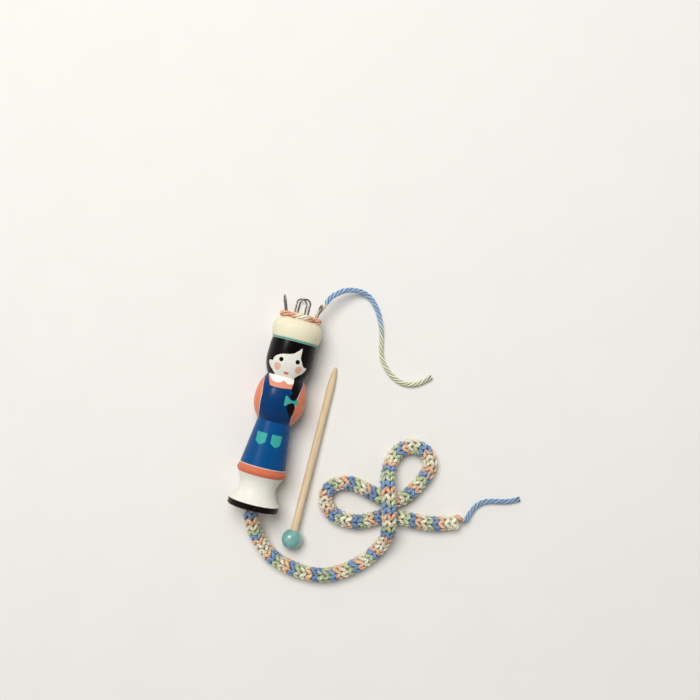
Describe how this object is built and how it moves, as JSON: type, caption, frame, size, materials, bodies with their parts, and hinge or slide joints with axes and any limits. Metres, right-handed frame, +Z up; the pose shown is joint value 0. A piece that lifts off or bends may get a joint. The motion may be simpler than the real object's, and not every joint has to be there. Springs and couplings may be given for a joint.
{
  "type": "knitting nancy",
  "caption": "Turned and painted wooden doll, bored from crown to base, with wire staples in its crown for knitting a cord of yarn, and a loose knobbed needle for lifting the loops.",
  "frame": {"origin": "centre of the doll's flat base face, on the axis of its bore", "axes": "+Y along the doll's axis from base to crown, +Z up out of its face as it lies on its back, +X to the right of the picture"},
  "size_m": [0.1544, 0.1617, 0.0277],
  "materials": {
    "painted_wood": "gloss paint on turned wood",
    "wire": "drawn wire",
    "yarn": "plied cotton yarn",
    "knit": "knitted variegated yarn",
    "plain_wood": "sanded",
    "lacquered_wood": "gloss lacquer"
  },
  "bodies": {
    "doll": {"doll_body": "painted_wood", "staple_front": "wire", "staple_right": "wire", "staple_back": "wire", "staple_left": "wire", "stitch_front": "yarn", "stitch_right": "yarn", "stitch_back": "yarn", "stitch_left": "yarn", "knitted_cord": "knit", "working_yarn": "yarn", "cord_tail": "yarn"},
    "needle": {"needle_shaft": "plain_wood", "needle_bead": "lacquered_wood"}
  },
  "joints": [
    {"name": "needle_lift", "type": "slide", "parent": "doll", "child": "needle", "axis": [0, 0, 1], "range_m": [0, 0.08]}
  ]
}
